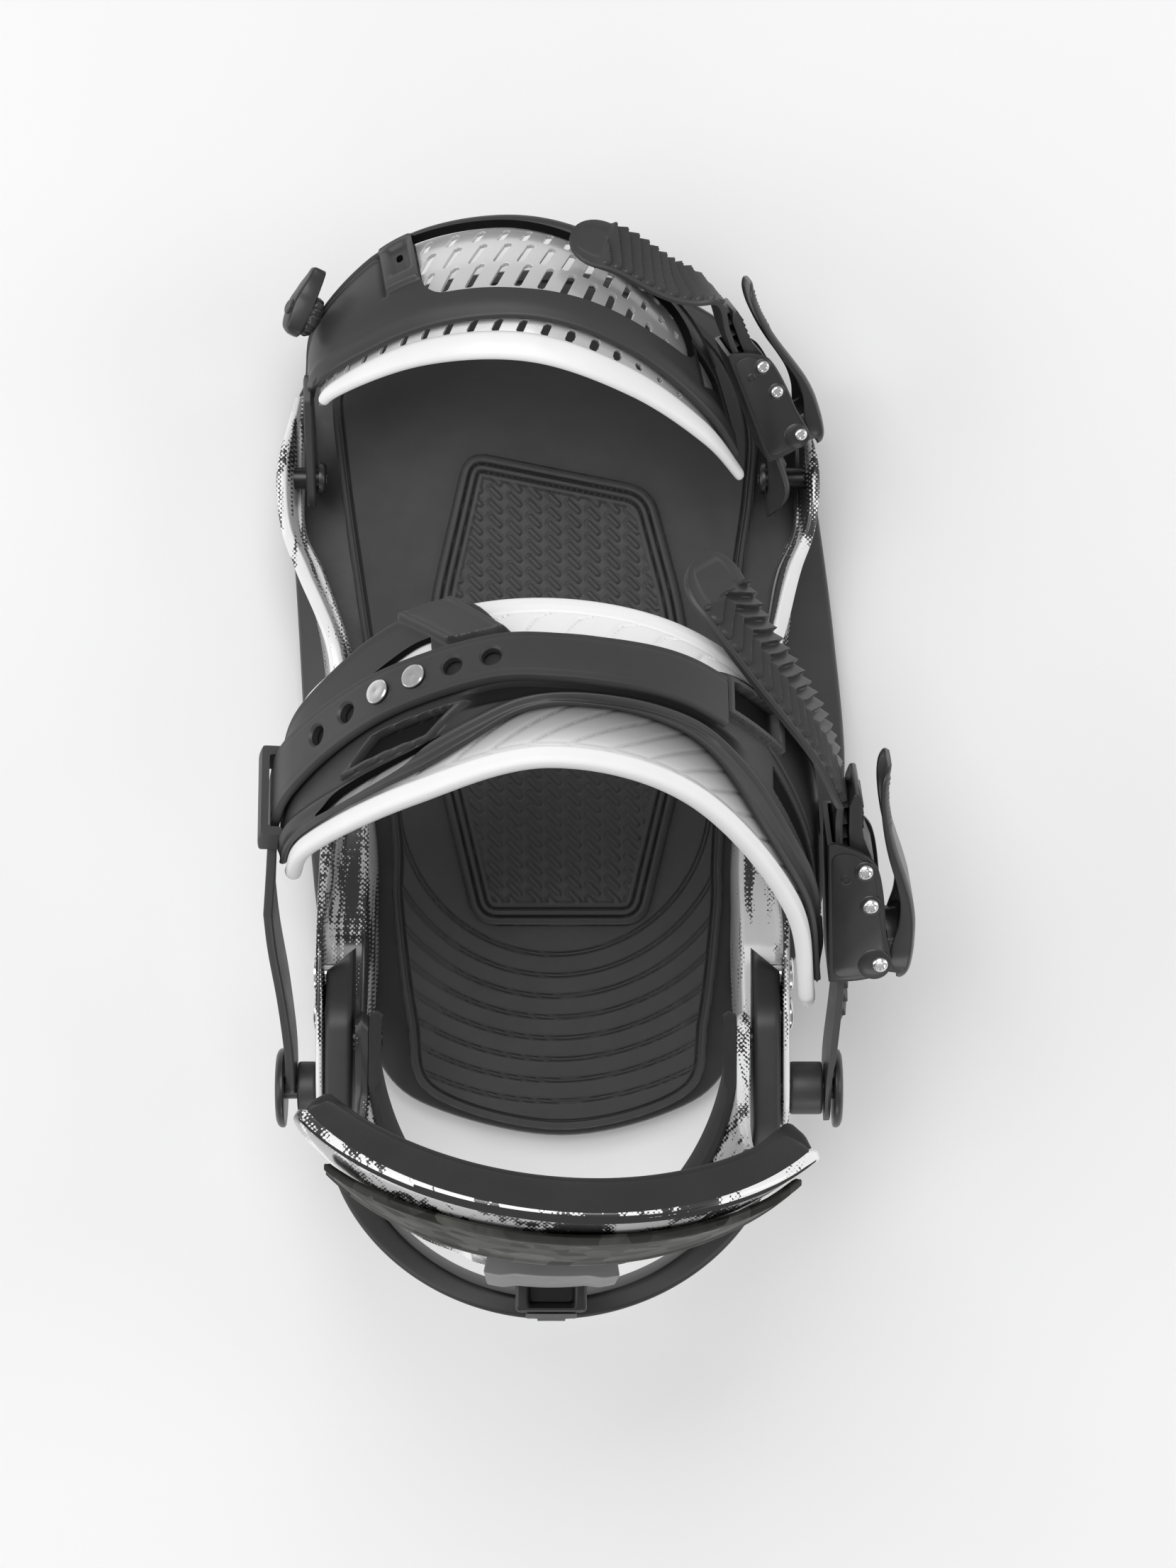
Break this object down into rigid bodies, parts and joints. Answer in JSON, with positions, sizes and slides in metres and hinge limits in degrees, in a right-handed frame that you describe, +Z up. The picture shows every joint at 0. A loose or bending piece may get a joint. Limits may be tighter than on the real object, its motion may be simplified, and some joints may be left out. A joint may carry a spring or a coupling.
{
  "type": "snowboard binding",
  "caption": "Strap-in snowboard binding for the right foot: base with mounting disc, heel hoop, folding highback, ratcheted ankle and toe straps.",
  "frame": {"origin": "middle of the mounting disc's underside, on the board plane", "axes": "+Z up off the board, +Y towards the toe, +X towards the outer side of the right foot"},
  "size_m": [0.1736, 0.2949, 0.23],
  "materials": {
    "printed_shell": "glossy, white with a black halftone print",
    "dark_plastic": "satin moulded",
    "buckle_black": "satin",
    "footbed_foam": "fine matt grain",
    "pad_rubber": "matt",
    "soft_black": "soft matt foam skin",
    "white_pad": "satin white moulded foam",
    "silver_web": "silver-grey satin, perforated",
    "carbon": "mottled fibre-filled plastic",
    "hoop_metal": "black anodised",
    "spine_grey": "satin",
    "steel": "bright"
  },
  "bodies": {
    "base": {"baseplate": "printed_shell", "base_bushing": "pad_rubber", "footbed": "footbed_foam", "grip_pad": "pad_rubber", "heel_hoop": "hoop_metal", "hoop_bolt_left_1": "steel", "hoop_bolt_left_2": "steel", "hoop_bolt_right_1": "steel", "hoop_bolt_right_2": "steel", "highback_bolt_left": "steel", "highback_bolt_right": "steel", "pivot_spacer_inner": "dark_plastic", "pivot_spacer_outer": "dark_plastic", "ankle_pivot_inner": "buckle_black", "ankle_pivot_outer": "buckle_black", "toe_bolt_inner": "steel", "toe_bolt_outer": "steel"},
    "disc": {"mounting_disc": "dark_plastic", "disc_screw_1": "steel", "disc_screw_2": "steel", "disc_screw_3": "steel", "disc_screw_4": "steel"},
    "highback": {"highback_shell": "printed_shell", "highback_pad": "soft_black", "cross_band": "carbon", "highback_spine": "spine_grey"},
    "lean_block": {"lean_block": "buckle_black"},
    "lean_lever": {"lean_lever": "spine_grey"},
    "ankle_strap": {"ankle_pad": "white_pad", "ankle_frame": "dark_plastic", "ankle_link": "dark_plastic", "link_pin_1": "steel", "link_pin_2": "steel", "strap_keeper": "dark_plastic", "ankle_ladder": "dark_plastic", "ankle_buckle_body": "buckle_black", "ankle_lever_pin": "steel", "ankle_pawl_pin": "steel", "ankle_release_pin": "steel"},
    "ankle_lever": {"ankle_lever": "buckle_black", "ankle_lever_spring": "steel"},
    "ankle_pawl": {"ankle_pawl": "steel"},
    "ankle_release": {"ankle_release_lever": "buckle_black"},
    "toe_strap": {"toe_web": "silver_web", "toe_trim": "white_pad", "toe_frame": "dark_plastic", "toe_ladder": "dark_plastic", "toe_buckle_body": "buckle_black", "toe_lever_pin": "steel", "toe_pawl_pin": "steel", "toe_release_pin": "steel"},
    "toe_lever": {"toe_lever": "buckle_black", "toe_lever_spring": "steel"},
    "toe_pawl": {"toe_pawl": "steel"},
    "toe_release": {"toe_release_lever": "buckle_black"},
    "toe_knob": {"toe_knob": "buckle_black"}
  },
  "joints": [
    {"name": "stance_angle", "type": "hinge", "parent": "base", "child": "disc", "pos_m": [0, 0, 0.004], "axis": [0, 0, 1], "range_deg": [-45, 45]},
    {"name": "highback_fold", "type": "hinge", "parent": "base", "child": "highback", "pos_m": [0, -0.09, 0.058], "axis": [-1, 0, 0], "range_deg": [0, 50]},
    {"name": "lean_block_slide", "type": "slide", "parent": "highback", "child": "lean_block", "axis": [0, 0.124, 0.9923], "range_m": [0, 0.009]},
    {"name": "lean_lever_flip", "type": "hinge", "parent": "lean_block", "child": "lean_lever", "pos_m": [0, -0.1586, 0.1116], "axis": [-1, 0, 0], "range_deg": [0, 70]},
    {"name": "ankle_strap_swing", "type": "hinge", "parent": "base", "child": "ankle_strap", "pos_m": [0, -0.104, 0.05], "axis": [1, 0, 0], "range_deg": [-18, 33]},
    {"name": "ankle_lever_lift", "type": "hinge", "parent": "ankle_strap", "child": "ankle_lever", "pos_m": [0.08683, -0.06292, 0.06882], "axis": [0, 0.4022, -0.9155], "range_deg": [0, 75], "stiffness_Nm_per_rad": 0.06, "springref_deg": -20.05},
    {"name": "ankle_pawl_lift", "type": "hinge", "parent": "ankle_strap", "child": "ankle_pawl", "pos_m": [0.08392, -0.04734, 0.07567], "axis": [0, -0.4022, 0.9155], "range_deg": [0, 15], "stiffness_Nm_per_rad": 0.02, "springref_deg": -17.19},
    {"name": "ankle_release_lift", "type": "hinge", "parent": "ankle_strap", "child": "ankle_release", "pos_m": [0.08222, -0.03832, 0.07963], "axis": [0, 0.4022, -0.9155], "range_deg": [0, 8], "stiffness_Nm_per_rad": 0.02, "springref_deg": -17.19},
    {"name": "toe_strap_swing", "type": "hinge", "parent": "base", "child": "toe_strap", "pos_m": [0, 0.064, 0.024], "axis": [1, 0, 0], "range_deg": [-20, 40]},
    {"name": "toe_lever_lift", "type": "hinge", "parent": "toe_strap", "child": "toe_lever", "pos_m": [0.06569, 0.07748, 0.04406], "axis": [-0.131, 0.3159, -0.9397], "range_deg": [0, 75], "stiffness_Nm_per_rad": 0.06, "springref_deg": -20.05},
    {"name": "toe_pawl_lift", "type": "hinge", "parent": "toe_strap", "child": "toe_pawl", "pos_m": [0.05899, 0.08862, 0.04874], "axis": [0.131, -0.3159, 0.9397], "range_deg": [0, 15], "stiffness_Nm_per_rad": 0.02, "springref_deg": -17.19},
    {"name": "toe_release_lift", "type": "hinge", "parent": "toe_strap", "child": "toe_release", "pos_m": [0.05511, 0.09507, 0.05145], "axis": [-0.131, 0.3159, -0.9397], "range_deg": [0, 8], "stiffness_Nm_per_rad": 0.02, "springref_deg": -17.19},
    {"name": "toe_knob_turn", "type": "hinge", "parent": "toe_strap", "child": "toe_knob", "pos_m": [-0.06477, 0.10534, 0.05175], "axis": [-0.8145, 0.3769, 0.441], "continuous": true}
  ]
}
